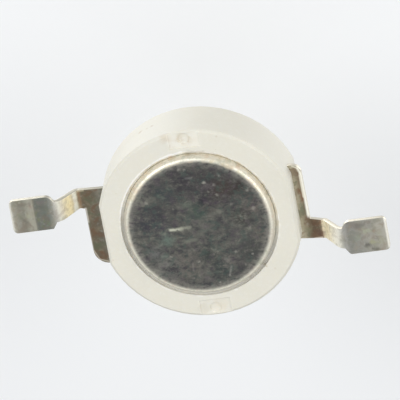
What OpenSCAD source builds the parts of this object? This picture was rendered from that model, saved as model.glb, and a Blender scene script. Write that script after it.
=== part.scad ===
// High-power LED emitter: moulded body, heat slug, two gull-wing leads, chip and domed lens.
// Millimetres. The slug's face stands on z = 0 and the lens looks up along +Z.
// The leads run along X, the anode on -X and the cathode on +X.

/* [Housing] */
// Diameter of the moulded body
body_d = 8; // [7.6:0.05:9]
// Width across the two flats where the leads leave the body
flats_w = 7.58; // [7.5:0.02:7.7]
// Height of the body
body_h = 2.4; // [2.3:0.05:2.8]
// Diameter of the opening around the slug in the underside
opening_d = 6.2; // [6.1:0.02:6.5]
// Depth of that opening
opening_depth = 0.15; // [0.1:0.05:0.3]
// Diameter of the open well over the chip
well_d = 5.8; // [5.6:0.05:5.9]
// Chamfer along the body's lower and upper edges
body_chamfer = 0.1; // [0.04:0.01:0.12]
// Width of each mould mark in the underside
mark_w = 1.24; // [0.8:0.02:1.4]
// Length of each mould mark, measured towards the centre
mark_l = 0.64; // [0.4:0.02:0.7]
// Distance from the opening to each mould mark
mark_gap = 0.18; // [0.1:0.01:0.2]
// Depth of each mould mark
mark_depth = 0.05; // [0.02:0.01:0.1]
// Diameter of the round pin mark in each mould mark
pin_mark_d = 0.46; // [0.3:0.02:0.5]
// Distance of the pin mark's middle from the mould mark's middle
pin_mark_shift = 0.07; // [0:0.01:0.1]

/* [Heat slug] */
// Diameter of the slug's flange
slug_d = 5.96; // [5.8:0.02:6]
// Height of the flange
flange_h = 0.8; // [0.7:0.05:0.9]
// Rounding of the flange's lower edge
flange_round = 0.27; // [0.15:0.01:0.3]
// Distance by which the slug stands proud of the body's underside
slug_proud = 0.18; // [0.1:0.01:0.25]
// Diameter of the column that carries the chip
column_d = 4; // [3.6:0.05:4.1]
// Height of the column's top above the slug's face
column_top = 2; // [1.9:0.02:2.1]
// Diameter of the reflector cup at its rim
cup_d = 2.6; // [2.3:0.05:2.9]
// Diameter of the reflector cup's floor
cup_floor_d = 1.9; // [1.8:0.05:2.1]
// Depth of the reflector cup
cup_depth = 0.45; // [0.35:0.01:0.5]

/* [Leads] */
// Overall length over both solder pads
overall_l = 14.5; // [14.3:0.05:15]
// Thickness of the lead sheet
sheet_t = 0.2; // [0.15:0.01:0.22]
// Height of the sheet's underside where it leaves the body
lead_z = 1.08; // [1.05:0.01:1.15]
// Height of the pads' underside above the slug's face
pad_lift = 0.02; // [0:0.01:0.12]
// Length of the anode's shoulder beyond the flat
anode_shoulder = 0.7; // [0.64:0.02:0.74]
// Length of the cathode's shoulder beyond the flat
cathode_shoulder = 0.4; // [0.38:0.02:0.6]
// Distance of the shoulder's free end from the centre line
shoulder_end = 1.58; // [1.5:0.02:1.7]
// Rounding of the anode shoulder's free corner
anode_corner = 0.62; // [0.3:0.02:0.64]
// Rounding of the cathode shoulder's free corner
cathode_corner = 0.37; // [0.2:0.01:0.38]
// Width of the neck between shoulder and pad
neck_w = 0.78; // [0.7:0.02:0.9]
// Offset of the neck's middle from the centre line
neck_y = 1.3; // [1.2:0.02:1.35]
// Shift of the anode's neck towards the centre line at its root
anode_skew = 0.05; // [0:0.01:0.15]
// Shift of the cathode's neck towards the centre line at its root
cathode_skew = 0.12; // [0:0.01:0.15]
// Widening of the neck's outer edge down the slope
neck_flare = 0.09; // [0:0.01:0.12]
// Length of the neck between the flat and the upper bend
neck_l = 0.88; // [0.82:0.02:0.94]
// Run of the slope, measured level from the upper bend to the lower one
slope_run = 0.64; // [0.6:0.02:0.7]
// Inner radius of the upper bend
upper_bend_r = 0.1; // [0.08:0.01:0.16]
// Inner radius of the lower bend
lower_bend_r = 0.3; // [0.2:0.01:0.32]
// Length of each pad, without the taper at its neck
pad_l = 1.58; // [1.4:0.02:1.6]
// Width of each pad
pad_w = 1.4; // [1.3:0.02:1.6]
// Rounding of the pad's outer corners
pad_corner = 0.18; // [0.08:0.01:0.25]
// Taper from the neck to the pad's full width
pad_taper = 0.18; // [0.1:0.02:0.2]
// Rounding of the anode pad's inner corner that lies away from the centre line
anode_heel_out = 0.3; // [0.1:0.02:0.34]
// Rounding of the anode pad's inner corner that lies near the centre line
anode_heel_in = 0.06; // [0.04:0.01:0.12]
// Rounding of the cathode pad's inner corner that lies away from the centre line
cathode_heel_out = 0.14; // [0.1:0.02:0.34]
// Rounding of the cathode pad's inner corner that lies near the centre line
cathode_heel_in = 0.26; // [0.04:0.02:0.34]
// Width of the bond finger inside the well
finger_w = 2.2; // [1.8:0.05:2.4]
// Space between the slug's column and the bond fingers
finger_gap = 0.15; // [0.1:0.01:0.2]

/* [Chip] */
// Width of the square chip
die_w = 1; // [0.8:0.02:1.1]
// Thickness of the chip
die_t = 0.15; // [0.1:0.01:0.2]
// Thickness of the adhesive bed
attach_t = 0.03; // [0.02:0.005:0.05]
// Width of the adhesive bed beyond the chip's edge
attach_margin = 0.05; // [0.02:0.01:0.08]
// Height of the phosphor's crown above the cup's rim
phosphor_crown = 0.12; // [0.05:0.01:0.2]

/* [Bond wires] */
// Diameter of the gold wire
wire_d = 0.04; // [0.03:0.005:0.05]
// Diameter of the ball on the chip and of the foot on the finger
ball_d = 0.1; // [0.08:0.01:0.12]
// Height of the ball and of the foot
ball_h = 0.03; // [0.02:0.005:0.04]
// Distance of the ball from the chip's edge
ball_inset = 0.12; // [0.08:0.01:0.16]
// Distance between the two balls on one side of the chip
ball_pitch = 0.6; // [0.4:0.02:0.7]
// Distance between the two feet on one finger
foot_pitch = 0.9; // [0.6:0.02:1.2]
// Distance of the feet beyond the dome's inner wall
foot_reach = 0.32; // [0.25:0.01:0.4]
// Height of the loop's control points above the column's top
loop_rise = 0.75; // [0.7:0.01:0.85]

/* [Lens] */
// Outer diameter of the dome
dome_d = 5.4; // [5.2:0.05:5.5]
// Wall of the dome
dome_wall = 0.5; // [0.4:0.05:0.6]
// Diameter of the lens flange
lens_flange_d = 6.3; // [6.2:0.05:6.4]
// Thickness of the lens flange
lens_flange_t = 0.3; // [0.2:0.02:0.35]
// Depth of the flange's top below the body's top face
lens_sink = 0.08; // [0.04:0.01:0.12]
// Diameter of the two gel ports beside the lens
port_d = 0.5; // [0.4:0.02:0.6]
// Depth of the gel ports below the lens seat
port_depth = 0.3; // [0.2:0.02:0.4]

/* [Fits] */
// Running fit between round pieces that slide into each other
fit = 0.01; // [0.005:0.005:0.02]

/* [Hidden] */
$fn = 96;
cut = 1;
wire_sides = 8;
wire_rings = 12;
bend_steps = 8;
loop_lean_chip = 0.05;
loop_lean_foot = 0.15;
port_overlap = 0.06;
body_r = body_d / 2;
flat_x = flats_w / 2;
body_top = slug_proud + body_h;
opening_top = slug_proud + opening_depth;
well_r = well_d / 2;
sheet_top = lead_z + sheet_t;
column_r = column_d / 2;
finger_r = column_r + finger_gap;
die_x = die_w / 2;
cup_floor_z = column_top - cup_depth;
die_z = cup_floor_z + attach_t;
die_top = die_z + die_t;
pad_end = overall_l / 2;
bend_x = flat_x + neck_l;
slope_end = bend_x + slope_run;
slope_angle = atan2(lead_z - pad_lift, slope_run);
neck_in = neck_y - neck_w / 2;
neck_out = neck_y + neck_w / 2;
pad_start = pad_end - pad_l;
pad_y = neck_y + neck_flare / 2;
taper_x = pad_start - pad_taper;
dome_r = dome_d / 2;
dome_in = dome_r - dome_wall;
lens_flange_r = lens_flange_d / 2;
lens_flange_top = body_top - lens_sink;
lens_seat = lens_flange_top - lens_flange_t;
port_y = well_r + port_d / 2 - port_overlap;
port_bottom = lens_seat - port_depth;
mark_y = opening_d / 2 + mark_gap + mark_l / 2;
foot_r = dome_in + foot_reach;

// Points of an arc about (x, y) from angle a0 to angle a1
function arc(x, y, r, a0, a1, steps) =
    [for (i = [0 : steps]) let (a = a0 + (a1 - a0) * i / steps) [x + r * cos(a), y + r * sin(a)]];

// Point of a cubic curve with the control points a, b, c and d
function curve(a, b, c, d, t) =
    a * pow(1 - t, 3) + b * 3 * t * pow(1 - t, 2) + c * 3 * t * t * (1 - t) + d * pow(t, 3);

function unit(v) = v / norm(v);

// Points of the rounded corner at b, on the way from a to c
function rounded(a, b, c, r) =
    let (
        back = unit(a - b),
        on = unit(c - b),
        half = acos(back * on) / 2,
        middle = b + unit(back + on) * r / sin(half),
        turn = sign(on[0] * back[1] - on[1] * back[0]),
        first = b + back * r / tan(half) - middle,
        start = atan2(first[1], first[0])
    )
    arc(middle[0], middle[1], r, start, start + turn * (180 - 2 * half), bend_steps);

// A slice between two heights, wide enough for the whole part
module slice(z0, z1) {
    translate([-overall_l, -overall_l, z0]) cube([2 * overall_l, 2 * overall_l, z1 - z0]);
}

// Body turned from its half section, with its wells and seats
module body_section() {
    c = body_chamfer;
    rotate_extrude() polygon([
        [opening_d / 2, slug_proud],
        [body_r - c, slug_proud],
        [body_r, slug_proud + c],
        [body_r, body_top - c],
        [body_r - c, body_top],
        [lens_flange_r + fit, body_top],
        [lens_flange_r + fit, lens_seat],
        [well_r, lens_seat],
        [well_r, sheet_top],
        [column_r + fit, sheet_top],
        [column_r + fit, flange_h],
        [slug_d / 2 + fit, flange_h],
        [slug_d / 2 + fit, opening_top],
        [opening_d / 2, opening_top],
    ]);
}

module mould_marks() {
    for (side = [-1, 1]) translate([0, side * mark_y, slug_proud]) {
        translate([-mark_w / 2, -mark_l / 2, -cut]) cube([mark_w, mark_l, cut + mark_depth]);
        translate([0, side * pin_mark_shift, 0]) cylinder(d = pin_mark_d, h = 2 * mark_depth);
    }
}

module gel_ports() {
    for (side = [-1, 1]) translate([0, side * port_y, port_bottom])
        cylinder(d = port_d, h = body_top + cut - port_bottom);
}

// Side limits of the body, with the same chamfers along the flats
module flats_block() {
    c = body_chamfer;
    rotate([90, 0, 0]) linear_extrude(height = 2 * body_d, center = true) polygon([
        [-flat_x + c, slug_proud],
        [flat_x - c, slug_proud],
        [flat_x, slug_proud + c],
        [flat_x, body_top - c],
        [flat_x - c, body_top],
        [-flat_x + c, body_top],
        [-flat_x, body_top - c],
        [-flat_x, slug_proud + c],
    ]);
}

module housing() {
    color([0.87, 0.86, 0.82])
    difference() {
        intersection() {
            body_section();
            flats_block();
        }
        mould_marks();
        gel_ports();
        anode_blank();
        cathode_blank();
    }
}

module heat_slug() {
    slug_r = slug_d / 2;
    color([0.40, 0.41, 0.40])
    rotate_extrude() {
        polygon([
            [0, 0],
            [slug_r - flange_round, 0],
            [slug_r - flange_round, flange_round],
            [slug_r, flange_round],
            [slug_r, flange_h],
            [column_r, flange_h],
            [column_r, column_top],
            [cup_d / 2, column_top],
            [cup_floor_d / 2, cup_floor_z],
            [0, cup_floor_z],
        ]);
        intersection() {
            translate([slug_r - flange_round, flange_round]) circle(flange_round);
            translate([slug_r - flange_round, 0]) square(flange_round);
        }
    }
}

// Outline of a cathode-side lead in plan, pad on +X and neck on +Y
module lead_plan(shoulder, corner, skew, heel_in, heel_out) {
    shoulder_x = flat_x + shoulder;
    root_x = flat_x - sheet_t;
    throat_in = [taper_x, neck_in];
    throat_out = [taper_x, neck_out + neck_flare];
    pad_low = pad_y - pad_w / 2;
    pad_high = pad_y + pad_w / 2;
    difference() {
        translate([0, -finger_w / 2]) square([flat_x, finger_w]);
        circle(finger_r);
    }
    polygon(concat(
        [[root_x, neck_out - skew], [root_x, -shoulder_end]],
        arc(shoulder_x - corner, -shoulder_end + corner, corner, -90, 0, bend_steps),
        [[shoulder_x, neck_in - skew], [bend_x, neck_in], throat_in],
        rounded(throat_in, [pad_start, pad_low], [pad_end, pad_low], heel_in),
        arc(pad_end - pad_corner, pad_low + pad_corner, pad_corner, -90, 0, bend_steps),
        arc(pad_end - pad_corner, pad_high - pad_corner, pad_corner, 0, 90, bend_steps),
        rounded([pad_end, pad_high], [pad_start, pad_high], throat_out, heel_out),
        [throat_out, [bend_x, neck_out]]
    ));
}

// Bent sheet seen from its side: level, down the slope, level again
module lead_profile() {
    run = tan(slope_angle / 2);
    upper_x = bend_x - upper_bend_r * run;
    upper_z = lead_z - upper_bend_r;
    lower_x = slope_end + (lower_bend_r + sheet_t) * run;
    lower_z = pad_lift + lower_bend_r + sheet_t;
    a = slope_angle;
    polygon(concat(
        [[0, lead_z]],
        arc(upper_x, upper_z, upper_bend_r, 90, 90 - a, bend_steps),
        arc(lower_x, lower_z, lower_bend_r + sheet_t, 270 - a, 270, bend_steps),
        [[pad_end, pad_lift], [pad_end, pad_lift + sheet_t]],
        arc(lower_x, lower_z, lower_bend_r, 270, 270 - a, bend_steps),
        arc(upper_x, upper_z, upper_bend_r + sheet_t, 90 - a, 90, bend_steps),
        [[0, sheet_top]]
    ));
}

module lead(shoulder, corner, skew, heel_in, heel_out) {
    intersection() {
        linear_extrude(height = body_top) lead_plan(shoulder, corner, skew, heel_in, heel_out);
        translate([0, body_r, 0]) rotate([90, 0, 0]) linear_extrude(height = body_d) lead_profile();
    }
}

module anode_blank() {
    rotate([0, 0, 180]) lead(anode_shoulder, anode_corner, anode_skew, anode_heel_in, anode_heel_out);
}

module cathode_blank() {
    lead(cathode_shoulder, cathode_corner, cathode_skew, cathode_heel_in, cathode_heel_out);
}

module anode_lead() {
    color([0.47, 0.45, 0.41]) anode_blank();
}

module cathode_lead() {
    color([0.47, 0.45, 0.41]) cathode_blank();
}

module die_attach() {
    w = die_w + 2 * attach_margin;
    color([0.70, 0.70, 0.68]) translate([-w / 2, -w / 2, cup_floor_z]) cube([w, w, attach_t]);
}

module led_die() {
    color([0.55, 0.62, 0.70]) translate([-die_x, -die_x, die_z]) cube([die_w, die_w, die_t]);
}

// Tube along a looped wire that stays in one upright plane
module wire_tube(from, to) {
    span = [to[0] - from[0], to[1] - from[1], 0];
    side = cross([0, 0, 1], unit(span));
    top = column_top + loop_rise;
    start_up = [from[0], from[1], top] + span * loop_lean_chip;
    end_up = [to[0], to[1], top] - span * loop_lean_foot;
    path = [for (i = [0 : wire_rings]) curve(from, start_up, end_up, to, i / wire_rings)];
    last = wire_rings;
    ahead = [for (i = [0 : last]) i == 0 ? [0, 0, 1] : i == last ? [0, 0, -1]
        : unit(path[i + 1] - path[i - 1])];
    points = [for (i = [0 : last]) for (k = [0 : wire_sides - 1])
        let (turn = 360 * k / wire_sides)
        path[i] + wire_d / 2 * (cos(turn) * side + sin(turn) * cross(ahead[i], side))];
    around = [for (k = [0 : wire_sides - 1]) k];
    faces = concat(
        [[for (k = around) k]],
        [[for (k = around) last * wire_sides + wire_sides - 1 - k]],
        [for (i = [0 : last - 1]) for (k = around)
            [i * wire_sides + k, (i + 1) * wire_sides + k, i * wire_sides + (k + 1) % wire_sides]],
        [for (i = [0 : last - 1]) for (k = around)
            [i * wire_sides + (k + 1) % wire_sides, (i + 1) * wire_sides + k,
                (i + 1) * wire_sides + (k + 1) % wire_sides]]
    );
    polyhedron(points, faces);
}

// One bond: ball on the chip, looped wire, foot on the finger
module bond(side) {
    ball = [die_x - ball_inset, side * ball_pitch / 2, die_top];
    foot = [foot_r, side * foot_pitch / 2, sheet_top];
    sunk = [0, 0, ball_h / 2];
    translate(ball) cylinder(d = ball_d, h = ball_h);
    translate(foot) cylinder(d = ball_d, h = ball_h);
    wire_tube(ball + sunk, foot + sunk);
}

module bond_pair() {
    for (side = [-1, 1]) bond(side);
}

module anode_wires() {
    color([0.83, 0.66, 0.28]) rotate([0, 0, 180]) bond_pair();
}

module cathode_wires() {
    color([0.83, 0.66, 0.28]) bond_pair();
}

// Cup fill with a low crown above the rim
module phosphor_fill() {
    rim = cup_d / 2;
    crown_r = (rim * rim + phosphor_crown * phosphor_crown) / (2 * phosphor_crown);
    rotate_extrude() {
        polygon([[0, cup_floor_z], [cup_floor_d / 2, cup_floor_z], [rim, column_top], [0, column_top]]);
        intersection() {
            translate([0, column_top + phosphor_crown - crown_r]) circle(crown_r);
            translate([0, column_top]) square([rim, phosphor_crown + cut]);
        }
    }
}

module phosphor() {
    color([0.93, 0.80, 0.30])
    difference() {
        phosphor_fill();
        die_attach();
        led_die();
        anode_wires();
        cathode_wires();
    }
}

// Everything under the lens, before the chip's pieces are taken out
module gel_fill() {
    translate([0, 0, sheet_top]) cylinder(r = well_r, h = lens_seat - sheet_top);
    translate([0, 0, lens_seat]) cylinder(r = dome_in, h = lens_flange_t);
    intersection() {
        translate([0, 0, lens_flange_top]) sphere(dome_in);
        slice(lens_flange_top, lens_flange_top + dome_r);
    }
}

module encapsulant() {
    color([0.93, 0.95, 0.95])
    difference() {
        gel_fill();
        cylinder(r = column_r, h = column_top);
        phosphor_fill();
        anode_wires();
        cathode_wires();
    }
}

module lens() {
    color([0.85, 0.90, 0.93])
    difference() {
        union() {
            translate([0, 0, lens_seat]) cylinder(r = lens_flange_r, h = lens_flange_t);
            intersection() {
                translate([0, 0, lens_flange_top]) sphere(dome_r);
                slice(lens_flange_top, lens_flange_top + dome_d);
            }
        }
        translate([0, 0, lens_seat]) cylinder(r = dome_in, h = lens_flange_t);
        translate([0, 0, lens_flange_top]) sphere(dome_in);
        gel_ports();
    }
}

housing();
heat_slug();
anode_lead();
cathode_lead();
die_attach();
led_die();
anode_wires();
cathode_wires();
phosphor();
encapsulant();
lens();
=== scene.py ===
"""Looks of the LED emitter: camera, lamps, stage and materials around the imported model."""
import math

import bmesh
import bpy
from mathutils import Matrix, Vector


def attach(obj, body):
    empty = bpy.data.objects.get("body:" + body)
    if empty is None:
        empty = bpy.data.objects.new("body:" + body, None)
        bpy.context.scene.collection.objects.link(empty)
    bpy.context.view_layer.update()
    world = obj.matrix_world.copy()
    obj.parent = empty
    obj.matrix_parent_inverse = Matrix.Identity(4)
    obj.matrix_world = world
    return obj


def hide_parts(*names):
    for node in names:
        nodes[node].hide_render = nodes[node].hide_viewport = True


MM = 0.001

# Camera of the photograph, in millimetres
CAMERA_AT = (48.12, -135.34, -300.80)
CAMERA_RIGHT = (0.9815, 0.1745, 0.0784)
CAMERA_UP = (0.1261, -0.8983, 0.4210)
CAMERA_LENS = 768.7
SENSOR_WIDTH = 36.0

# Rounding of sharp edges in millimetres, and the angle in degrees from which an edge is sharp
LEAD_ROLL = 0.05
HOUSING_ROLL = 0.03
SHARP_ANGLE = 40

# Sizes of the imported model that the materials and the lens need, in millimetres
BODY_TOP = 2.58
DOME_R = 2.7
FLANGE_R = 3.15
FLANGE_TOP = 2.5
FLANGE_BOTTOM = 2.2
WELL_R = 2.9
PORT_R = 0.25
PORT_Y = 3.09
PORT_BOTTOM = 1.9
SHEET_TOP = 1.28
SLUG_EDGE = 2.71
OPENING_R = 3.1
MARK_Y = 3.6
MARK_W = 1.24
MARK_L = 0.64
PIN_Y = 3.67
PIN_R = 0.23
BEND_X = 4.67
SLOPE_END = 5.31

# Direction of the leads' slope, as the parts of a unit length along X and along Z
SLOPE_RUN = 0.517
SLOPE_RISE = 0.856

# Slope of the line across the slug that parts its lit rim from the shaded one, and half width of the change
SHADE_LEAN = 0.3
SHADE_REACH = 0.9

# Heights at which looks end: the housing's underside and opening, and the slug's face and rim
UNDERSIDE_TOP = 0.4
RECESS_TOP = 0.6
FACE_TOP = 0.2
RIM_TOP = 0.5
# Height from which the slug has its clean plating
PLATED_FROM = 0.8

# Light and stage: background colour, share of it that lights the part, and lengths in millimetres
PALE = (0.86, 0.87, 0.88)
AMBIENT = 0.64
LAMP_DISTANCE = 180.0
LAMP_WIDTH = 140.0
STAGE_REACH = 40.0
FLOOR_Z = -0.01
BACKDROP_Z = 13.0
FLOOR_SHADE = 1.08
BACKDROP_SHADE = 1.07


def srgb(red, green, blue):
    """Linear colour of an sRGB colour given in 0 to 255."""
    def linear(value):
        value /= 255
        return value / 12.92 if value <= 0.04045 else ((value + 0.055) / 1.055) ** 2.4
    return (linear(red), linear(green), linear(blue), 1.0)


class Graph:
    """The nodes of one material. Its point, x, y and z are in millimetres in the part's own frame."""

    def __init__(self, name, roughness=0.5, metallic=0.0):
        self.material = bpy.data.materials.new(name)
        self.material.use_nodes = True
        self.tree = self.material.node_tree
        self.shader = self.tree.nodes["Principled BSDF"]
        self.output = self.tree.nodes["Material Output"]
        self.shader.inputs["Roughness"].default_value = roughness
        self.shader.inputs["Metallic"].default_value = metallic
        place = self.add("ShaderNodeTexCoord")
        self.point = self.vector("SCALE", place.outputs["Object"], scale=1 / MM)
        parts = self.add("ShaderNodeSeparateXYZ")
        self.link(self.point, parts.inputs[0])
        self.x, self.y, self.z = parts.outputs
        facing = self.add("ShaderNodeSeparateXYZ")
        self.link(self.add("ShaderNodeNewGeometry").outputs["Normal"], facing.inputs[0])
        self.normal_x = facing.outputs[0]
        self.normal_z = facing.outputs[2]

    def add(self, kind, **settings):
        """A new node with its settings."""
        node = self.tree.nodes.new(kind)
        for name, value in settings.items():
            setattr(node, name, value)
        return node

    def link(self, source, target):
        """Joins a socket to an input, or gives the input a plain value."""
        if isinstance(source, bpy.types.NodeSocket):
            self.tree.links.new(source, target)
        else:
            target.default_value = source

    def math(self, operation, a, b=0.0):
        """Result of an operation on one or two values."""
        node = self.add("ShaderNodeMath", operation=operation)
        self.link(a, node.inputs[0])
        self.link(b, node.inputs[1])
        return node.outputs[0]

    def vector(self, operation, a, b=None, scale=None):
        """Result of an operation on vectors."""
        node = self.add("ShaderNodeVectorMath", operation=operation)
        self.link(a, node.inputs[0])
        if b is not None:
            self.link(b, node.inputs[1])
        if scale is not None:
            self.link(scale, node.inputs["Scale"])
        return node.outputs["Vector"]

    def distance(self, x, y):
        """Distance of a point from (x, y) in plan."""
        across = self.math("SUBTRACT", self.x, x)
        along = self.math("SUBTRACT", self.y, y)
        across = self.math("MULTIPLY", across, across)
        along = self.math("MULTIPLY", along, along)
        return self.math("SQRT", self.math("ADD", across, along))

    def step(self, value, low, high):
        """0 below low, 1 above high, smooth between them. Low may be the larger one."""
        node = self.add("ShaderNodeMapRange", interpolation_type="SMOOTHSTEP")
        self.link(value, node.inputs["Value"])
        node.inputs["From Min"].default_value = min(low, high)
        node.inputs["From Max"].default_value = max(low, high)
        node.inputs["To Min"].default_value = 0.0 if low < high else 1.0
        node.inputs["To Max"].default_value = 1.0 if low < high else 0.0
        return node.outputs[0]

    def spot(self, x, y, inner, outer):
        """1 within the inner radius of a point in plan, 0 beyond the outer one."""
        return self.step(self.distance(x, y), outer, inner)

    def ball(self, place, size):
        """1 at a point in space, 0 beyond the size about it."""
        away = self.add("ShaderNodeVectorMath", operation="DISTANCE")
        self.link(self.moved, away.inputs[0])
        away.inputs[1].default_value = place
        return self.step(away.outputs["Value"], size, 0.0)

    def stroke(self, start, end, width, soft=0.25):
        """1 along a line in plan, fading over its width, and at the ends over a soft share of its length."""
        past_end = 0.05
        across, along = end[0] - start[0], end[1] - start[1]
        length = math.hypot(across, along)
        across, along = across / length, along / length
        x = self.math("SUBTRACT", self.x, (start[0] + end[0]) / 2)
        y = self.math("SUBTRACT", self.y, (start[1] + end[1]) / 2)
        ahead = self.math("ADD", self.math("MULTIPLY", x, across), self.math("MULTIPLY", y, along))
        aside = self.math("SUBTRACT", self.math("MULTIPLY", y, across), self.math("MULTIPLY", x, along))
        near = self.step(self.math("ABSOLUTE", aside), width, 0.0)
        reach = length * (0.5 + past_end)
        within = self.step(self.math("ABSOLUTE", ahead), reach, reach - length * soft)
        return self.math("MULTIPLY", near, within)

    def wobble(self, scale, amount):
        """Moves x and y a little from place to place, so that what is drawn by them looks uneven."""
        node = self.add("ShaderNodeTexNoise")
        self.link(self.point, node.inputs["Vector"])
        node.inputs["Scale"].default_value = scale
        node.inputs["Detail"].default_value = 2.0
        centred = self.vector("SUBTRACT", node.outputs["Color"], (0.5, 0.5, 0.5))
        parts = self.add("ShaderNodeSeparateXYZ")
        self.moved = self.vector("ADD", self.point, self.vector("SCALE", centred, scale=amount))
        self.link(self.moved, parts.inputs[0])
        self.x, self.y, self.z = parts.outputs

    def shaded_side(self):
        """1 on the side of the slug's rim that the photo shows in shade, 0 on the other side."""
        lean = self.math("MULTIPLY", self.x, SHADE_LEAN)
        return self.step(self.math("SUBTRACT", self.y, lean), -SHADE_REACH, SHADE_REACH)

    def both(self, a, b):
        """Product of two masks: 1 where both are 1."""
        return self.math("MULTIPLY", a, b)

    def either(self, a, b):
        """The larger of two values."""
        return self.math("MAXIMUM", a, b)

    def blend(self, factor, a, b):
        """Colour a where the factor is 0, and b where it is 1."""
        node = self.add("ShaderNodeMix", data_type="RGBA")
        self.link(factor, node.inputs[0])
        self.link(a, node.inputs[6])
        self.link(b, node.inputs[7])
        return node.outputs[2]

    def paint(self, base, mask, strength, tone):
        """A colour with a tone over it where the mask is 1, at a strength up to 1."""
        return self.blend(self.math("MULTIPLY", mask, strength), base, srgb(*tone))

    def ramp(self, value, stops):
        """Colour along a value, from stops of (value, tone)."""
        low, high = stops[0][0], stops[-1][0]
        spread = self.add("ShaderNodeMapRange")
        self.link(value, spread.inputs["Value"])
        spread.inputs["From Min"].default_value = low
        spread.inputs["From Max"].default_value = high
        node = self.add("ShaderNodeValToRGB")
        elements = node.color_ramp.elements
        places = [(at - low) / (high - low) for at, tone in stops]
        elements[1].position = places[1]
        for place in places[2:]:
            elements.new(place)
        for element, place, (at, tone) in zip(elements, places, stops):
            element.position = place
            element.color = srgb(*tone)
        self.link(spread.outputs[0], node.inputs[0])
        return node.outputs[0]

    def noise(self, scale, detail=3.0, roughness=0.55, warp=0.0, stretch=None, offset=0.0):
        """Cloudy value about 0.5. Scale is in features per millimetre."""
        node = self.add("ShaderNodeTexNoise")
        place = self.point
        if stretch:
            place = self.vector("MULTIPLY", place, stretch)
        if offset:
            place = self.vector("ADD", place, (offset, offset, offset))
        self.link(place, node.inputs["Vector"])
        node.inputs["Scale"].default_value = scale
        node.inputs["Detail"].default_value = detail
        node.inputs["Roughness"].default_value = roughness
        node.inputs["Distortion"].default_value = warp
        return node.outputs[0]

    def shifted(self, value, noise, amount):
        """A value moved up or down by a noise that is about 0.5."""
        push = self.math("MULTIPLY", self.math("SUBTRACT", noise, 0.5), 2 * amount)
        return self.math("ADD", value, push)

    def bump(self, height, depth):
        """Bumps of a height from 0 to 1, depth in millimetres."""
        node = self.add("ShaderNodeBump")
        node.inputs["Distance"].default_value = depth * MM
        self.link(height, node.inputs["Height"])
        self.link(node.outputs[0], self.shader.inputs["Normal"])

    def colour(self, socket):
        """Makes a socket the base colour."""
        self.link(socket, self.shader.inputs["Base Color"])

    def rough(self, value, low, high):
        """Roughness between low and high, by a value from 0 to 1."""
        node = self.add("ShaderNodeMapRange")
        self.link(value, node.inputs["Value"])
        node.inputs["To Min"].default_value = low
        node.inputs["To Max"].default_value = high
        self.link(node.outputs[0], self.shader.inputs["Roughness"])


def make_camera():
    """Camera that sees the part as the photo does."""
    right = Vector(CAMERA_RIGHT).normalized()
    back = right.cross(Vector(CAMERA_UP)).normalized()
    up = back.cross(right)
    data = bpy.data.cameras.new("camera")
    data.lens = CAMERA_LENS
    data.sensor_width = SENSOR_WIDTH
    data.clip_start = 0.01
    data.clip_end = 10.0
    camera = bpy.data.objects.new("camera", data)
    turn = Matrix((right, up, back)).transposed().to_4x4()
    camera.matrix_world = Matrix.Translation(Vector(CAMERA_AT) * MM) @ turn
    bpy.context.scene.collection.objects.link(camera)
    bpy.context.scene.camera = camera


def seen_directly(tree):
    """1 for the rays that show a background: those of the camera, of gloss and through glass."""
    path = tree.nodes.new("ShaderNodeLightPath")
    first = tree.nodes.new("ShaderNodeMath")
    first.operation = "MAXIMUM"
    tree.links.new(path.outputs["Is Camera Ray"], first.inputs[0])
    tree.links.new(path.outputs["Is Glossy Ray"], first.inputs[1])
    second = tree.nodes.new("ShaderNodeMath")
    second.operation = "MAXIMUM"
    tree.links.new(first.outputs[0], second.inputs[0])
    tree.links.new(path.outputs["Is Transmission Ray"], second.inputs[1])
    return second.outputs[0]


def make_world():
    """Pale world, which lights the part at a share of the brightness that it shows."""
    world = bpy.data.worlds.new("studio")
    world.use_nodes = True
    tree = world.node_tree
    background = tree.nodes["Background"]
    background.inputs["Color"].default_value = (*PALE, 1.0)
    strength = tree.nodes.new("ShaderNodeMapRange")
    strength.inputs["To Min"].default_value = AMBIENT
    strength.inputs["To Max"].default_value = 1.0
    tree.links.new(seen_directly(tree), strength.inputs["Value"])
    tree.links.new(strength.outputs[0], background.inputs["Strength"])
    bpy.context.scene.world = world


def lamp(name, direction, share):
    """Area lamp aimed at the part, which lights a facing surface by share of a plain white."""
    data = bpy.data.lights.new(name, "AREA")
    data.shape = "DISK"
    data.size = LAMP_WIDTH * MM
    away = LAMP_DISTANCE * MM
    data.energy = share * math.pi * math.pi * away * away
    spot = bpy.data.objects.new(name, data)
    back = Vector(direction).normalized()
    spot.location = back * away + Vector((0, 0, BODY_TOP * MM / 2))
    spot.rotation_mode = "QUATERNION"
    spot.rotation_quaternion = back.to_track_quat("Z", "Y")
    bpy.context.scene.collection.objects.link(spot)


def make_lamps():
    """Three lamps for the photographed side and two for the lens side."""
    right = Vector(CAMERA_RIGHT)
    up = Vector(CAMERA_UP)
    back = right.cross(up)
    lamp("photo_key", back * 0.9 + up * 0.15 - right * 0.8, 0.385)
    lamp("photo_fill", back * 0.9 + up * 0.1 + right * 0.8, 0.335)
    lamp("photo_low", back * 0.85 - up * 0.5, 0.06)
    lamp("top_key", (-0.5, -0.45, 0.8), 0.34)
    lamp("top_fill", (0.7, -0.1, 0.7), 0.22)


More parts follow.
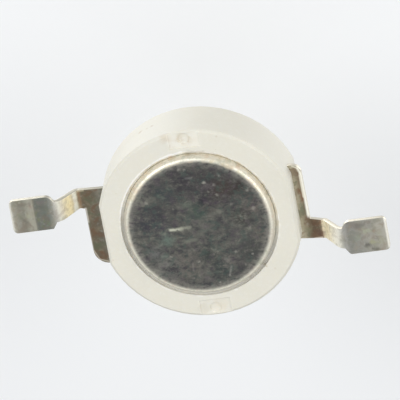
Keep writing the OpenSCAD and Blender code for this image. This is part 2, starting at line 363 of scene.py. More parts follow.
def stage_plane(name, z, facing_up, shade):
    """Plane of the stage, seen only from its own side. Lit, it has the colour of the world it fades into."""
    fade_from, fade_to = STAGE_REACH * 0.25, STAGE_REACH * 0.95
    mesh = bpy.data.meshes.new(name)
    reach = STAGE_REACH * MM
    corners = [(-reach, -reach), (reach, -reach), (reach, reach), (-reach, reach)]
    face = (0, 1, 2, 3) if facing_up else (3, 2, 1, 0)
    mesh.from_pydata([(x, y, z * MM) for x, y in corners], [], [face])
    plane = bpy.data.objects.new(name, mesh)
    bpy.context.scene.collection.objects.link(plane)
    g = Graph(name, roughness=1.0)
    g.shader.inputs["Base Color"].default_value = (*(shade * part for part in PALE), 1.0)
    g.shader.inputs["Specular IOR Level"].default_value = 0.0
    clear = g.add("ShaderNodeBsdfTransparent")
    behind = g.add("ShaderNodeNewGeometry").outputs["Backfacing"]
    beyond = g.step(g.distance(0.0, 0.0), fade_from, fade_to)
    mix = g.add("ShaderNodeMixShader")
    g.link(g.either(behind, beyond), mix.inputs[0])
    g.link(g.shader.outputs[0], mix.inputs[1])
    g.link(clear.outputs[0], mix.inputs[2])
    g.link(mix.outputs[0], g.output.inputs["Surface"])
    mesh.materials.append(g.material)
    plane.visible_shadow = False
    plane.visible_diffuse = False
    plane.visible_glossy = False


def mould_marks(g, base, underside):
    """Adds the two mould marks, with painted light: each mark is painted paler inside and its walls near
    white, to offset the shade of its recess.
    """
    tilted = g.step(g.math("ABSOLUTE", g.normal_x), 0.15, 0.4)
    for side in (-1, 1):
        across = g.math("SUBTRACT", g.math("ABSOLUTE", g.x), MARK_W / 2)
        along = g.math("SUBTRACT", g.math("ABSOLUTE", g.math("SUBTRACT", g.y, side * MARK_Y)), MARK_L / 2)
        outside = g.either(across, along)
        mark = g.both(g.step(outside, 0.1, -0.1), underside)
        # Painted light: the mark is painted paler to offset the shade of its recess.
        base = g.paint(base, mark, 0.5, (239, 236, 225))
        # Painted light: the mark's walls are painted near white to offset their shade.
        wall = g.both(g.both(g.step(g.math("ABSOLUTE", outside), 0.12, 0.06), tilted), underside)
        base = g.blend(wall, base, srgb(253, 251, 241))
    return base


def housing_stains(g, base, stain, underside):
    """Adds the specks of the wall and the stains at the mould marks."""
    for place, size, strength in HOUSING_SPECKS:
        base = g.paint(base, g.ball(place, size), strength, (178, 150, 110))
    pin_edge = g.math("ABSOLUTE", g.math("SUBTRACT", g.distance(0.0, -PIN_Y), PIN_R))
    stained = g.both(g.step(stain, 0.35, 0.6), underside)
    pin_stain = g.both(g.step(pin_edge, 0.10, 0.0), stained)
    base = g.paint(base, pin_stain, 0.12, (186, 166, 126))
    pin_fill = g.both(g.spot(0.1, -PIN_Y, 0.1, 0.5), stained)
    base = g.paint(base, pin_fill, 0.3, (206, 188, 154))
    slanting = g.stroke((-0.85, -3.95), (-0.3, -3.3), 0.34)
    level = g.stroke((-0.6, -3.6), (0.1, -3.55), 0.2)
    mark_stain = g.both(g.either(slanting, level), stained)
    base = g.paint(base, mark_stain, 0.3, (198, 176, 144))
    lower_stain = g.both(g.stroke((-0.55, 3.40), (-0.30, 3.85), 0.42), underside)
    base = g.paint(base, lower_stain, 0.2, (190, 180, 148))
    warm_stain = g.both(g.stroke((-0.1, 3.45), (0.5, 3.7), 0.42), underside)
    base = g.paint(base, warm_stain, 0.14, (222, 200, 154))
    return base


def opening_look(g, base, stain, underside):
    """Adds the floor of the opening around the slug, with stains, painted light and painted shade, its lip
    with a painted highlight, and the smudges over it.
    """
    radius = g.distance(0.0, 0.0)
    opening = g.step(radius, OPENING_R + 0.03, OPENING_R - 0.01)
    recess = g.both(opening, g.step(g.z, RECESS_TOP, RECESS_TOP - 0.1))
    # Painted light with stains: the floor is painted paler than the plastic to offset its shade, and tan
    # where stained.
    floor = g.blend(g.step(stain, 0.4, 0.65), srgb(252, 250, 242), srgb(240, 232, 212))
    # Painted shade on the floor's shaded side.
    floor = g.paint(floor, g.shaded_side(), 0.8, (218, 216, 208))
    base = g.blend(recess, base, floor)
    # Painted highlight along the lip, on its upper left and in patches.
    lip = g.step(g.math("ABSOLUTE", g.math("SUBTRACT", radius, OPENING_R + 0.03)), 0.06, 0.0)
    patchy = g.math("MULTIPLY", g.step(stain, 0.52, 0.62), 0.45)
    lit = g.either(g.both(g.step(g.x, 0.0, -0.25), g.step(g.y, -0.4, -1.2)), patchy)
    lit_lip = g.both(g.both(lip, lit), underside)
    base = g.paint(base, lit_lip, 0.8, (252, 251, 246))
    for start, end, width, strength, tone in RIM_MARKS:
        mark = g.both(g.stroke(start, end, width), underside)
        base = g.paint(base, mark, strength, tone)
    return base


def housing_plastic():
    """White moulded plastic, stained at the mould marks and around the opening, with painted light in its
    well and at its mould marks, and painted light, shade and highlight around the opening.
    """
    g = Graph("moulded_plastic", roughness=0.5)
    broad = g.noise(0.35, detail=2.0)
    fine = g.noise(6.0, detail=4.0, roughness=0.7)
    stain = g.noise(2.6, detail=3.0, offset=4.0)
    base = g.ramp(broad, [(0.3, (226, 224, 213)), (0.5, (228, 225, 212)), (0.7, (225, 222, 209))])
    base = g.paint(base, g.step(fine, 0.45, 0.75), 0.6, (232, 230, 220))
    specks = g.step(g.noise(3.2, detail=2.0, offset=11.0), 0.76, 0.80)
    base = g.paint(base, specks, 0.35, (176, 150, 110))
    # Painted light: the well's inner wall under the lens is painted near white, for the light that the dome
    # gathers into it.
    within = g.both(g.step(g.z, SHEET_TOP - 0.1, SHEET_TOP), g.step(g.z, BODY_TOP, BODY_TOP - 0.06))
    well = g.both(g.step(g.distance(0.0, 0.0), FLANGE_R + 0.06, FLANGE_R + 0.02), within)
    base = g.blend(well, base, srgb(254, 254, 250))
    underside = g.step(g.z, UNDERSIDE_TOP, UNDERSIDE_TOP - 0.1)
    base = mould_marks(g, base, underside)
    g.wobble(scale=4.0, amount=0.12)
    base = housing_stains(g, base, stain, underside)
    base = opening_look(g, base, stain, underside)
    g.colour(base)
    g.shader.inputs["Subsurface Weight"].default_value = 0.12
    g.shader.inputs["Subsurface Radius"].default_value = (1.0, 0.85, 0.6)
    g.shader.inputs["Subsurface Scale"].default_value = 0.25 * MM
    g.rough(fine, low=0.46, high=0.58)
    g.bump(fine, depth=0.004)
    return g.material


# Smudges over the opening's edge, on the housing and the slug, as (start, end, width, strength, tone)
RIM_MARKS = [
    ((0.02, -2.88), (0.16, -3.2), 0.2, 0.3, (158, 158, 140)),
    ((0.16, -3.1), (0.75, -3.06), 0.05, 0.35, (150, 138, 122)),
    ((2.1, 2.1), (2.34, 2.16), 0.08, 0.5, (164, 148, 118)),
    ((2.24, 1.8), (2.12, 2.05), 0.12, 0.35, (138, 142, 120)),
    ((-0.78, -2.92), (-0.58, -2.98), 0.08, 0.45, (222, 180, 140)),
    ((1.84, -2.3), (1.98, -2.16), 0.1, 0.4, (214, 176, 148)),
    ((-2.95, 0.9), (-2.98, 0.4), 0.07, 0.3, (150, 146, 130)),
    ((2.7, -1.4), (2.88, -0.75), 0.08, 0.3, (170, 160, 138)),
    ((1.15, -2.6), (1.8, -2.2), 0.09, 0.45, (160, 150, 132)),
    ((1.7, 2.45), (1.45, 2.62), 0.09, 0.35, (160, 148, 124)),
    ((0.1, 2.96), (-0.25, 2.95), 0.08, 0.25, (164, 160, 142)),
]
# First part of a tone, above which a patch of the slug's face counts as light
MID_TONE = 90
# Light and dark patches of the slug's face, as (x, y, radius, strength, tone)
SLUG_PATCHES = [
    (-1.38, 0.45, 0.468, 0.7, (104, 122, 112)), (0.06, 0.17, 0.975, 0.7, (104, 104, 98)),
    (0.82, 1.65, 0.585, 0.75, (118, 114, 108)), (-2.05, -1.3, 0.65, 0.8, (124, 124, 114)),
    (-0.8, 1.58, 0.91, 0.75, (112, 106, 100)), (-1.46, 1.64, 0.78, 0.8, (120, 120, 115)),
    (0.32, -1.04, 0.845, 0.85, (58, 56, 61)), (-0.36, -1.92, 0.78, 0.75, (62, 60, 64)),
    (-1.92, -0.36, 0.975, 0.8, (64, 65, 71)), (1.8, -1.49, 0.715, 0.8, (66, 61, 58)),
    (1.7, -0.16, 0.65, 0.8, (64, 62, 58)), (0.24, 1.27, 0.65, 0.75, (64, 70, 66)),
    (0.53, 2.0, 0.585, 0.75, (62, 70, 68)), (1.09, -1.47, 0.78, 0.8, (72, 62, 57)),
    (0.0, -0.62, 0.585, 0.6, (74, 94, 82)), (-1.2, -1.55, 0.715, 0.65, (66, 76, 76)),
    (1.5, 0.75, 0.845, 0.5, (86, 87, 84)), (-0.1, 2.35, 0.585, 0.6, (102, 100, 97)),
    (2.3, 0.6, 0.52, 0.6, (104, 98, 92)), (0.6, -0.7, 0.65, 0.4, (98, 94, 88)),
    (0.55, -2.0, 0.845, 0.7, (68, 66, 66)), (-1.35, 0.02, 0.455, 0.6, (70, 68, 78)),
    (1.9, 1.3, 0.715, 0.6, (74, 76, 72)), (-1.9, 0.95, 0.585, 0.6, (106, 108, 108)),
    (2.25, -0.55, 0.52, 0.7, (108, 98, 94)), (-0.35, -0.95, 0.39, 0.6, (110, 118, 106)),
]
# Small light spots of the slug's face, as (x, y, radius, strength)
SLUG_SPOTS = [
    (-0.38, -2.47, 0.11, 0.48), (-0.17, -2.46, 0.1, 0.4), (0.49, -1.8, 0.12, 0.64),
    (0.87, -1.66, 0.1, 0.36), (2.13, -1.26, 0.12, 0.48), (0.91, -1.21, 0.09, 0.4),
    (-1.9, -1.23, 0.12, 0.4), (2.22, -0.45, 0.13, 0.4), (1.23, 1.3, 0.09, 0.48),
    (1.87, 1.5, 0.08, 0.48), (-0.27, 1.53, 0.1, 0.48), (0.39, 2.52, 0.07, 0.56),
    (0.59, -1.38, 0.08, 0.32), (-1.33, 1.17, 0.08, 0.32), (-1.7, -0.13, 0.08, 0.2),
    (0.82, 2.27, 0.1, 0.4), (1.12, -2.02, 0.07, 0.28), (1.96, 0.3, 0.08, 0.24),
    (-0.9, -0.85, 0.08, 0.2), (0.7, 0.55, 0.07, 0.2), (-2.2, 0.5, 0.08, 0.24),
    (1.5, 1.9, 0.07, 0.28), (-0.6, 2.2, 0.08, 0.24), (1.4, -0.75, 0.09, 0.24),
]
# Scratches of the slug's face, as (start, end, width, strength, tone); their lightest tones are painted
# glints.
SLUG_SCRATCHES = [
    ((-1.26, 0.03), (-0.62, 0.04), 0.12, 0.75, (176, 177, 160)),
    ((-1.22, 0.03), (-0.76, 0.04), 0.07, 0.55, (212, 212, 194)),
    ((-0.84, 0.04), (-0.28, 0.01), 0.12, 0.6, (158, 159, 144)),
    ((-0.82, 0.6), (-0.14, 0.57), 0.12, 0.45, (128, 131, 119)),
    ((0.05, -0.3), (1.05, -0.5), 0.12, 0.3, (118, 118, 110)),
    ((0.97, 1.84), (0.81, 2.3), 0.07, 0.55, (142, 140, 134)),
    ((-0.53, 1.52), (-0.57, 1.98), 0.07, 0.4, (132, 128, 122)),
    ((-1.8, 1.12), (-1.42, 1.13), 0.09, 0.45, (122, 130, 120)),
    ((-0.24, -2.08), (0.1, -2.06), 0.09, 0.4, (124, 124, 122)),
    ((-1.42, -1.52), (-1.12, -1.35), 0.1, 0.4, (122, 128, 116)),
    ((1.04, -2.14), (1.2, -1.95), 0.08, 0.4, (114, 117, 112)),
    ((0.76, 1.5), (0.9, 1.72), 0.12, 0.4, (130, 126, 121)),
    ((-0.1, 0.35), (0.5, 0.2), 0.11, 0.3, (116, 116, 108)),
    ((-1.0, 0.85), (-0.5, 1.05), 0.1, 0.25, (108, 108, 104)),
    ((1.2, 0.1), (1.75, 0.35), 0.08, 0.25, (104, 103, 98)),
]
# Brown specks on the housing, as (place, size, strength)
HOUSING_SPECKS = [
    ((-1.86, -3.54, 1.7), 0.16, 0.4), ((-1.57, -3.68, 1.64), 0.09, 0.3),
    ((-1.35, -3.76, 1.63), 0.13, 0.4), ((1.3, -3.6, 0.18), 0.07, 0.25),
    ((2.6, 2.3, 0.18), 0.08, 0.2),
]


def bright_rim(g, radius, tint, streaks, grain, hue):
    """Tones of the slug's rounded rim: its mottling, a painted highlight, painted light in the groove, a
    painted reflection of the housing on its -Y side and painted shade on its shaded side.
    """
    # Painted light along the radius: the brighter band near 2.85 mm is a painted highlight on the rounding,
    # and the near-white outer band offsets the groove's shade.
    silver = g.ramp(g.shifted(radius, streaks, 0.02), [
        (2.72, (190, 186, 174)), (2.81, (220, 217, 203)), (2.85, (232, 229, 214)),
        (2.90, (208, 202, 185)), (2.95, (226, 219, 201)), (3.00, (246, 242, 228)),
    ])
    silver = g.paint(silver, g.step(grain, 0.4, 0.7), 0.4, (200, 196, 180))
    silver = g.paint(silver, g.step(hue, 0.52, 0.62), 0.45, (176, 180, 158))
    silver = g.paint(silver, g.step(hue, 0.46, 0.36), 0.4, (206, 186, 168))
    # Painted reflection: a warm cream tone on the rim's -Y side, in patches, for the cream housing it
    # mirrors.
    housing_reflection = g.both(g.step(g.y, 0.5, -2.0), g.step(tint, 0.45, 0.62))
    silver = g.paint(silver, housing_reflection, 0.5, (214, 196, 164))
    outer = g.both(g.step(radius, 2.86, 2.94), g.shaded_side())
    silver = g.paint(silver, outer, 0.6, (190, 188, 180))
    return silver


def dark_face_and_wear(g, broad, tint, streaks, grain, hue):
    """Tones of the slug's face: its dark base is a painted reflection of dark surroundings, darker towards
    -Y, with its own patches, scratches and spots.
    """
    # Painted reflection: the face's dark base stands for the dark surroundings it mirrors.
    dark = g.ramp(tint, [
        (0.36, (71, 71, 72)), (0.44, (83, 83, 81)), (0.50, (91, 91, 86)),
        (0.57, (101, 100, 94)), (0.66, (118, 118, 109)),
    ])
    dark = g.paint(dark, g.step(broad, 0.52, 0.34), 0.45, (70, 69, 70))
    # Darker towards -Y.
    dark = g.paint(dark, g.step(g.y, -0.2, -1.2), 0.4, (68, 66, 68))
    g.wobble(scale=2.2, amount=0.05)
    for x, y, size, strength, tone in SLUG_PATCHES:
        light = tone[0] > MID_TONE
        uneven = g.step(tint, 0.36, 0.60) if light else g.step(tint, 0.66, 0.42)
        patch = g.both(g.spot(x, y, 0.0, size), uneven)
        dark = g.paint(dark, patch, strength, tone)
    dark = g.paint(dark, g.step(streaks, 0.53, 0.70), 0.4, (128, 126, 118))
    dark = g.paint(dark, g.step(streaks, 0.46, 0.30), 0.35, (64, 64, 64))
    dark = g.paint(dark, g.step(hue, 0.53, 0.62), 0.36, (76, 92, 86))
    dark = g.paint(dark, g.step(hue, 0.46, 0.37), 0.26, (94, 82, 92))
    dark = g.paint(dark, g.step(grain, 0.56, 0.74), 0.25, (144, 142, 136))
    # Scratches, whose lightest tones are painted glints.
    for start, end, width, strength, tone in SLUG_SCRATCHES:
        scratch = g.both(g.stroke(start, end, width), g.step(streaks, 0.25, 0.5))
        dark = g.paint(dark, scratch, strength, tone)
    g.wobble(scale=7.0, amount=0.16)
    for x, y, size, strength in SLUG_SPOTS:
        dark = g.paint(dark, g.spot(x, y, 0.0, size), strength, (168, 166, 156))
    return dark


def slug_metal():
    """Dark face, whose darkness is a painted reflection, with wear; bright rim with painted light and
    smudges; and clean plating above.
    """
    g = Graph("plated_slug", roughness=0.4, metallic=1.0)
    broad = g.noise(0.8, detail=3.0, roughness=0.6, warp=0.4)
    tint = g.noise(3.6, detail=6.0, roughness=0.72, warp=0.3, stretch=(0.8, 1.0, 1.0), offset=7.0)
    streaks = g.noise(8.0, detail=5.0, roughness=0.7, warp=0.1, stretch=(0.6, 1.0, 1.0), offset=1.0)
    grain = g.noise(11.0, detail=5.0, roughness=0.75, warp=0.3)
    hue = g.noise(3.2, detail=4.0, roughness=0.65, offset=3.0)
    radius = g.distance(0.0, 0.0)
    silver = bright_rim(g, radius, tint, streaks, grain, hue)
    dark = dark_face_and_wear(g, broad, tint, streaks, grain, hue)
    edge = g.shifted(radius, tint, 0.05)
    skirt = g.both(g.step(edge, SLUG_EDGE - 0.24, SLUG_EDGE), g.step(streaks, 0.32, 0.56))
    dark = g.paint(dark, skirt, 0.42, (156, 153, 144))
    rim = g.step(edge, SLUG_EDGE - 0.03, SLUG_EDGE + 0.12)
    above = g.step(g.z, FACE_TOP - 0.04, FACE_TOP)
    colour = g.blend(g.either(rim, above), dark, silver)
    plating = g.blend(grain, srgb(226, 224, 216), srgb(210, 208, 200))
    for start, end, width, strength, tone in RIM_MARKS:
        colour = g.paint(colour, g.stroke(start, end, width), strength, tone)
    g.colour(g.blend(g.step(g.z, PLATED_FROM - 0.1, PLATED_FROM), colour, plating))
    dull = g.both(g.step(radius, 2.82, 2.90), g.step(g.z, RIM_TOP, RIM_TOP - 0.1))
    g.link(g.math("SUBTRACT", 1.0, g.math("MULTIPLY", dull, 0.75)), g.shader.inputs["Metallic"])
    g.rough(grain, low=0.36, high=0.54)
    g.bump(grain, depth=0.005)
    return g.material


# Tones along the leads' undersides, as (distance from the middle of the part, tone): painted light over the
# sheet's own tarnished colour, with dark flats as a painted reflection of dark surroundings and bright
# slopes as a painted reflection of the lit housing wall.
ANODE_TONES = [
    (3.8, (130, 126, 116)), (4.05, (104, 98, 85)), (4.54, (108, 98, 82)), (4.63, (150, 130, 106)),
    (4.69, (196, 180, 152)), (4.74, (255, 252, 234)), (4.82, (255, 252, 236)),
    (4.87, (240, 226, 190)), (4.94, (252, 236, 190)), (5.1, (250, 236, 196)),
    (5.2, (236, 226, 202)), (5.35, (218, 215, 200)), (5.47, (184, 181, 172)),
    (5.6, (144, 146, 138)), (5.78, (116, 119, 112)), (6.22, (110, 113, 106)),
    (6.28, (120, 120, 112)), (6.41, (162, 160, 146)), (6.52, (160, 158, 144)),
    (6.72, (136, 135, 123)), (6.95, (144, 141, 130)), (7.12, (158, 155, 143)),
    (7.22, (206, 204, 194)),
]
CATHODE_TONES = [
    (3.8, (190, 182, 160)), (3.95, (150, 141, 120)), (4.12, (114, 100, 82)), (4.25, (96, 83, 68)),
    (4.48, (104, 90, 74)), (4.56, (136, 118, 96)), (4.63, (238, 222, 190)), (4.72, (255, 246, 214)),
    (4.8, (246, 232, 196)), (4.9, (255, 243, 212)), (5.04, (255, 250, 228)), (5.2, (250, 246, 230)),
    (5.35, (226, 223, 210)), (5.53, (168, 166, 160)), (5.7, (138, 137, 131)),
    (6.2, (147, 146, 138)), (6.8, (158, 155, 145)), (7.05, (167, 164, 153)),
    (7.15, (172, 169, 159)), (7.22, (222, 220, 210)),
]
# Stains on the leads' undersides, as (start, end, width, strength, tone)
ANODE_STAINS = [
    ((-4.3, 1.1), (-3.95, 1.4), 0.4, 0.5, (104, 80, 62)),
    ((-4.15, -1.15), (-4.45, -1.45), 0.3, 0.4, (92, 96, 74)),
    ((-4.4, -0.2), (-4.2, 0.5), 0.25, 0.35, (106, 84, 66)),
    ((-4.2, 0.7), (-4.35, 0.95), 0.25, 0.4, (92, 98, 76)),
    ((-4.62, -1.66), (-4.66, -0.95), 0.1, 0.5, (120, 86, 58)),
    ((-4.93, -1.45), (-4.88, -1.2), 0.2, 0.4, (216, 190, 120)),
    ((-6.95, -1.35), (-6.6, -1.0), 0.1, 0.5, (112, 112, 104)),
    ((-6.62, -1.02), (-6.42, -0.7), 0.07, 0.45, (120, 110, 104)),
    ((-6.1, -1.0), (-5.8, -0.8), 0.3, 0.5, (112, 130, 98)),
    ((-6.95, -1.85), (-6.55, -1.85), 0.14, 0.5, (118, 112, 102)),
    ((-6.42, -1.85), (-6.38, -1.6), 0.14, 0.4, (158, 134, 126)),
    ((-6.5, -1.95), (-6.38, -1.8), 0.2, 0.55, (134, 126, 118)),
    ((-6.2, -1.85), (-5.8, -1.85), 0.14, 0.45, (122, 112, 114)),
    ((-6.26, -1.5), (-6.2, -1.0), 0.1, 0.5, (124, 128, 98)),
    ((-6.55, -0.75), (-6.4, -0.75), 0.14, 0.4, (126, 116, 106)),
    ((-6.95, -1.5), (-6.85, -1.2), 0.14, 0.4, (130, 134, 114)),
    ((-6.9, -0.8), (-6.7, -0.9), 0.18, 0.4, (124, 112, 98)),
    ((-6.1, -1.75), (-5.9, -1.6), 0.25, 0.4, (100, 98, 96)),
    ((-5.8, -0.75), (-6.1, -0.68), 0.08, 0.4, (132, 108, 104)),
    ((-5.95, -1.45), (-5.85, -1.3), 0.2, 0.4, (100, 112, 104)),
    ((-6.6, -1.5), (-6.5, -1.2), 0.12, 0.4, (172, 174, 148)),
]
CATHODE_STAINS = [
    ((4.0, -0.55), (4.05, 0.05), 0.16, 0.6, (126, 84, 60)),
    ((3.92, 0.05), (3.95, 0.45), 0.14, 0.5, (128, 136, 116)),
    ((4.0, 1.4), (4.1, 1.15), 0.3, 0.4, (120, 124, 98)),
    ((4.45, 1.6), (4.55, 1.3), 0.25, 0.5, (92, 72, 64)),
    ((4.2, 1.05), (4.45, 1.0), 0.16, 0.5, (92, 74, 60)),
    ((6.25, 1.7), (6.55, 1.8), 0.15, 0.85, (104, 102, 96)),
    ((6.5, 1.9), (6.85, 1.93), 0.18, 0.75, (102, 100, 90)),
    ((5.9, 0.85), (6.75, 0.84), 0.2, 0.6, (112, 110, 104)),
    ((6.3, 1.15), (6.55, 1.0), 0.26, 0.5, (172, 178, 150)),
    ((6.25, 1.35), (6.6, 1.5), 0.26, 0.45, (172, 166, 152)),
    ((6.5, 1.6), (6.95, 1.75), 0.18, 0.5, (170, 170, 132)),
    ((6.0, 1.25), (6.1, 1.5), 0.22, 0.4, (140, 150, 134)),
    ((6.7, 1.1), (6.72, 1.25), 0.12, 0.4, (150, 128, 112)),
    ((6.85, 0.85), (6.95, 1.1), 0.2, 0.5, (176, 172, 160)),
    ((6.75, 1.45), (6.85, 1.6), 0.12, 0.5, (116, 112, 104)),
    ((6.9, 1.2), (7.0, 1.8), 0.2, 0.35, (158, 160, 138)),
]
# Painted highlights on the rolled edges of the leads' undersides, in the same form
ANODE_EDGE_HIGHLIGHTS = [
    ((-4.47, -0.9), (-4.47, -0.25), 0.08, 0.8, (210, 206, 196)),
    ((-4.48, -0.3), (-4.48, 1.0), 0.05, 0.5, (200, 196, 184)),
    ((-4.48, 0.95), (-4.29, 1.4), 0.05, 0.5, (214, 208, 192)),
    ((-4.3, 1.37), (-3.85, 1.56), 0.05, 0.5, (214, 208, 192)),
    ((-7.23, -1.95), (-7.23, -0.75), 0.06, 0.7, (228, 226, 216)),
    ((-6.35, -2.0), (-6.35, -0.65), 0.06, 0.4, (178, 174, 158)),
    ((-4.4, -1.65), (-4.66, -1.65), 0.07, 0.6, (196, 186, 158)),
]
CATHODE_EDGE_HIGHLIGHTS = [
    ((4.15, -1.25), (4.15, 0.7), 0.1, 1.0, (250, 248, 236)),
    ((4.1, -1.15), (4.1, -0.15), 0.07, 0.9, (232, 226, 208)),
    ((4.15, -1.18), (4.05, -1.46), 0.09, 0.9, (246, 242, 226)),
    ((4.07, -1.43), (3.84, -1.55), 0.06, 0.8, (240, 236, 218)),
    ((7.22, 0.72), (7.22, 1.95), 0.07, 0.8, (236, 233, 222)),
    ((4.22, 1.65), (4.56, 1.65), 0.07, 0.7, (214, 202, 184)),
]


# Tone of the leads' cut edges
ANODE_CUT = (180, 176, 162)
CATHODE_CUT = (216, 210, 194)


def lead_metal(name, side, tones, stains, bright, cut_tone):
    """Plated and tarnished sheet with its cut edges, and painted light on its underside: painted reflections
    along it and painted highlights on its edges. Side is -1 for the lead on -X, 1 for the one on +X.
    """
    g = Graph(name, roughness=0.38, metallic=1.0)
    grain = g.noise(7.0, detail=4.0, roughness=0.7)
    cloud = g.noise(1.6, detail=3.0, warp=0.5, offset=5.0 * side)
    fine = g.noise(3.6, detail=4.0, roughness=0.65, offset=2.0)
    out = g.math("MULTIPLY", g.x, side)
    # Painted light: the underside's tones along X are mostly painted reflections.
    under = g.ramp(g.shifted(out, cloud, 0.02), tones)
    under = g.paint(under, g.step(fine, 0.45, 0.7), 0.35, (150, 140, 118))
    under = g.paint(under, g.step(grain, 0.52, 0.8), 0.25, (205, 203, 195))
    hue = g.noise(2.4, detail=4.0, roughness=0.6, warp=0.6, offset=9.0)
    inner = g.step(out, BEND_X, BEND_X - 0.1)
    rusty = g.both(g.step(hue, 0.52, 0.62), g.either(g.math("MULTIPLY", inner, 0.5), 0.22))
    under = g.blend(rusty, under, srgb(112, 86, 68))
    olive = g.both(g.step(hue, 0.47, 0.38), g.either(g.math("MULTIPLY", inner, 0.5), 0.22))
    under = g.blend(olive, under, srgb(98, 104, 84))
    silver = g.blend(cloud, srgb(232, 228, 214), srgb(208, 202, 186))
    cut_edge = g.step(g.math("ABSOLUTE", g.normal_z), 0.3, 0.1)
    silver = g.blend(cut_edge, silver, srgb(*cut_tone))
    down = g.math("MULTIPLY", g.normal_z, -1.0)
    inward = g.math("MULTIPLY", g.normal_x, -side * SLOPE_RISE)
    on_slope = g.math("ADD", inward, g.math("MULTIPLY", down, SLOPE_RUN))
    underside = g.step(g.either(down, on_slope), 0.72, 0.88)
    slope = g.both(g.step(out, BEND_X - 0.06, BEND_X + 0.03), g.step(out, SLOPE_END + 0.2, SLOPE_END - 0.1))
    slope = g.both(slope, underside)
    # Painted highlights along the rolled edges.
    edges = [(g.stroke(start, end, width, soft=0.1), strength, tone)
             for start, end, width, strength, tone in bright]
    g.wobble(scale=4.0, amount=0.2)
    for start, end, width, strength, tone in stains:
        stain = g.both(g.stroke(start, end, width), g.step(fine, 0.3, 0.55))
        under = g.paint(under, stain, strength, tone)
    for edge, strength, tone in edges:
        under = g.paint(under, edge, strength, tone)
    g.colour(g.blend(underside, silver, under))
    g.link(g.math("SUBTRACT", 1.0, slope), g.shader.inputs["Metallic"])
    g.rough(grain, low=0.3, high=0.46)
    g.bump(grain, depth=0.004)
    return g.material


def clear_plastic():
    """Clear lens and gel, which shadow rays and diffuse rays pass straight through."""
    g = Graph("clear_plastic", roughness=0.03)
    haze = g.noise(2.0, detail=2.0)
    g.colour(g.blend(haze, srgb(252, 253, 253), srgb(247, 249, 250)))
    g.shader.inputs["IOR"].default_value = 1.46
    g.shader.inputs["Transmission Weight"].default_value = 1.0
    g.rough(haze, low=0.01, high=0.04)
    let_through = g.add("ShaderNodeBsdfTransparent")
    let_through.inputs[0].default_value = (0.98, 0.98, 0.98, 1.0)
    path = g.add("ShaderNodeLightPath")
    mix = g.add("ShaderNodeMixShader")
    g.link(g.either(path.outputs["Is Shadow Ray"], path.outputs["Is Diffuse Ray"]), mix.inputs[0])
    g.link(g.shader.outputs[0], mix.inputs[1])
    g.link(let_through.outputs[0], mix.inputs[2])
    g.link(mix.outputs[0], g.output.inputs["Surface"])
    return g.material


def phosphor_gel():
    """Grainy yellow fill, darker towards its edge."""
    g = Graph("phosphor_gel", roughness=0.45)
    grain = g.noise(14.0, detail=4.0, roughness=0.8)
    cloud = g.noise(1.3, detail=4.0, roughness=0.6, warp=0.3)
    clumps = g.noise(5.0, detail=3.0, roughness=0.6, offset=6.0)
    base = g.ramp(cloud, [(0.35, (224, 184, 58)), (0.5, (234, 200, 76)), (0.65, (240, 212, 98))])
    base = g.paint(base, g.step(clumps, 0.52, 0.68), 0.35, (214, 168, 44))
    edge = g.step(g.shifted(g.distance(0.0, 0.0), clumps, 0.15), 1.45, 1.85)
    base = g.paint(base, edge, 0.45, (206, 158, 46))
    base = g.paint(base, g.step(grain, 0.48, 0.72), 0.6, (250, 232, 150))
    g.colour(base)
    g.rough(clumps, low=0.38, high=0.55)
    g.bump(grain, depth=0.01)
    return g.material


def chip_surface():
    """Blue-grey chip with gold contact lines."""
    g = Graph("chip_surface", roughness=0.2, metallic=0.3)
    radians_per_mm = 12.0
    grid = g.step(g.math("ABSOLUTE", g.math("SINE", g.math("MULTIPLY", g.x, radians_per_mm))), 0.9, 1.0)
    grain = g.noise(20.0)
    base = g.blend(grain, srgb(92, 106, 128), srgb(112, 124, 142))
    g.colour(g.blend(grid, base, srgb(214, 190, 120)))
    g.rough(grain, low=0.15, high=0.3)
    return g.material


def silver_adhesive():
    """Matt adhesive with silver grains."""
    g = Graph("silver_adhesive", roughness=0.6, metallic=0.4)
    grain = g.noise(18.0, detail=4.0)
    g.colour(g.blend(grain, srgb(176, 176, 172), srgb(205, 205, 200)))
    g.bump(grain, depth=0.004)
    return g.material


def gold_wire():
    """Bright gold of the bond wires."""
    g = Graph("gold_wire", roughness=0.2, metallic=1.0)
    grain = g.noise(12.0)
    g.colour(g.blend(grain, srgb(226, 184, 96), srgb(238, 200, 120)))
    g.rough(grain, low=0.15, high=0.28)
    return g.material


def roll_edges(node, width):
    """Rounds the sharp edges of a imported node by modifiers, which leave its mesh as it is."""
    weld = node.modifiers.new("weld", "WELD")
    weld.merge_threshold = 0.0005 * MM
    merge = node.modifiers.new("merge_flats", "DECIMATE")
    merge.decimate_type = "DISSOLVE"
    merge.angle_limit = math.radians(1.0)
    bevel = node.modifiers.new("roll", "BEVEL")
    bevel.width = width * MM
    bevel.segments = 3
    bevel.limit_method = "ANGLE"
    bevel.angle_limit = math.radians(SHARP_ANGLE)
    node.modifiers.new("shade", "WEIGHTED_NORMAL")


def dress(node, material):
    """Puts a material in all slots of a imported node."""
    for slot in node.material_slots:
        slot.material = material


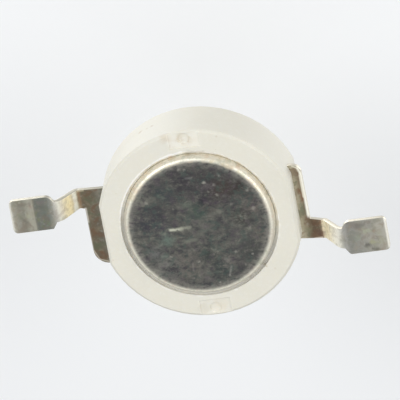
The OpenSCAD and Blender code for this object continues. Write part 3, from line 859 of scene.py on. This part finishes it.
def lathe(name, outline, steps):
    """Solid turned about Z from a closed outline of (radius, z) points, in millimetres."""
    made = bmesh.new()
    rings = []
    for radius, z in outline:
        if radius == 0:
            rings.append([made.verts.new((0, 0, z * MM))])
            continue
        ring = []
        for index in range(steps):
            turn = 2 * math.pi * index / steps
            x, y = radius * math.cos(turn), radius * math.sin(turn)
            ring.append(made.verts.new((x * MM, y * MM, z * MM)))
        rings.append(ring)
    for lower, upper in zip(rings, rings[1:]):
        for index in range(steps):
            after = (index + 1) % steps
            below = [lower[index % len(lower)], lower[after % len(lower)]]
            above = [upper[after % len(upper)], upper[index % len(upper)]]
            made.faces.new(list(dict.fromkeys(below + above)))
    bmesh.ops.recalc_face_normals(made, faces=made.faces)
    mesh = bpy.data.meshes.new(name)
    made.to_mesh(mesh)
    made.free()
    piece = bpy.data.objects.new(name, mesh)
    bpy.context.scene.collection.objects.link(piece)
    return piece


def cut_ports(lens):
    """Takes the two gel ports out of the lens."""
    for side in (-1, 1):
        made = bmesh.new()
        middle = Matrix.Translation((0, side * PORT_Y * MM, (PORT_BOTTOM + BODY_TOP) / 2 * MM))
        height = (BODY_TOP - PORT_BOTTOM) * MM
        bmesh.ops.create_cone(made, cap_ends=True, segments=32, radius1=PORT_R * MM, radius2=PORT_R * MM,
                              depth=height, matrix=middle)
        cutter = bpy.data.objects.new("cutter", bpy.data.meshes.new("cutter"))
        made.to_mesh(cutter.data)
        made.free()
        bpy.context.scene.collection.objects.link(cutter)
        cut = lens.modifiers.new("port", "BOOLEAN")
        cut.object = cutter
        cut.operation = "DIFFERENCE"
        bpy.context.view_layer.update()
        shape = bpy.data.meshes.new_from_object(lens.evaluated_get(bpy.context.evaluated_depsgraph_get()))
        lens.modifiers.clear()
        lens.data = shape
        bpy.data.objects.remove(cutter)


def make_lens():
    """Lens and gel as one clear solid, whose lower part is buried in what the gel touches."""
    buried = 0.04
    fillet = 0.06
    dome_steps = 40
    turn_steps = 128
    start = math.asin(fillet / DOME_R)
    outline = [(0, SHEET_TOP - buried), (WELL_R + buried, SHEET_TOP - buried)]
    outline += [(WELL_R + buried, FLANGE_BOTTOM - buried)]
    outline += [(FLANGE_R - fillet, FLANGE_BOTTOM - buried), (FLANGE_R, FLANGE_BOTTOM)]
    outline += [(FLANGE_R, FLANGE_TOP - fillet / 2), (FLANGE_R - fillet / 2, FLANGE_TOP)]
    outline += [(DOME_R + fillet / 2, FLANGE_TOP)]
    for index in range(dome_steps):
        rise = start + (math.pi / 2 - start) * index / dome_steps
        outline.append((DOME_R * math.cos(rise), FLANGE_TOP + DOME_R * math.sin(rise)))
    outline.append((0, FLANGE_TOP + DOME_R))
    lens = lathe("lens_and_gel", outline, turn_steps)
    cut_ports(lens)
    for polygon in lens.data.polygons:
        polygon.use_smooth = True
    lens.data.set_sharp_from_angle(angle=math.radians(SHARP_ANGLE))
    lens.data.materials.append(clear_plastic())
    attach(lens, "root")
    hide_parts("lens", "encapsulant")


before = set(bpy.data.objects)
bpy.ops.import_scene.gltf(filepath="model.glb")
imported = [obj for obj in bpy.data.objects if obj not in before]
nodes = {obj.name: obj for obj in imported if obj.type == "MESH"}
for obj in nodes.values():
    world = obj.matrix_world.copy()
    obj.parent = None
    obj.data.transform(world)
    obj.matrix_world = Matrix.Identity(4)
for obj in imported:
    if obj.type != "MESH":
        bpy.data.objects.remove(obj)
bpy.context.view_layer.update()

make_camera()
make_world()
make_lamps()
stage_plane("floor", FLOOR_Z, True, FLOOR_SHADE)
stage_plane("backdrop", BACKDROP_Z, False, BACKDROP_SHADE)

dress(nodes["housing"], housing_plastic())
dress(nodes["heat_slug"], slug_metal())
anode_metal = lead_metal("anode_sheet", -1, ANODE_TONES, ANODE_STAINS, ANODE_EDGE_HIGHLIGHTS, ANODE_CUT)
dress(nodes["anode_lead"], anode_metal)
cathode_metal = lead_metal("cathode_sheet", 1, CATHODE_TONES, CATHODE_STAINS, CATHODE_EDGE_HIGHLIGHTS, CATHODE_CUT)
dress(nodes["cathode_lead"], cathode_metal)
dress(nodes["die_attach"], silver_adhesive())
dress(nodes["led_die"], chip_surface())
dress(nodes["anode_wires"], gold_wire())
dress(nodes["cathode_wires"], gold_wire())
dress(nodes["phosphor"], phosphor_gel())
for name in ("anode_lead", "cathode_lead"):
    roll_edges(nodes[name], LEAD_ROLL)
roll_edges(nodes["housing"], HOUSING_ROLL)
make_lens()

bpy.context.scene.view_settings.view_transform = "Standard"
